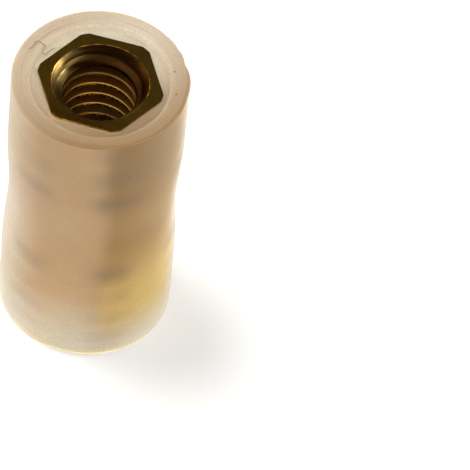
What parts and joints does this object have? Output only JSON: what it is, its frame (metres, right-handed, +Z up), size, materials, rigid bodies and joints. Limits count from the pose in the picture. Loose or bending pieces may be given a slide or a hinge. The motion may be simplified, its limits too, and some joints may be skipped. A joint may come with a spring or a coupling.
{
  "type": "threaded standoff",
  "caption": "Round insulating standoff in milky translucent nylon, with a tapped brass hex insert moulded into each end.",
  "frame": {"origin": "centre of the lower end, on the plane of its rim", "axes": "+Z up along the axis through both tapped bores, +X through a corner of the hexes, Y square to a pair of hex flats"},
  "size_m": [0.0078, 0.0078, 0.015],
  "materials": {
    "nylon": "satin, milky translucent",
    "brass": "turned, satin"
  },
  "bodies": {
    "root": {"nylon_body": "nylon", "top_insert": "brass", "bottom_insert": "brass"}
  },
  "joints": []
}
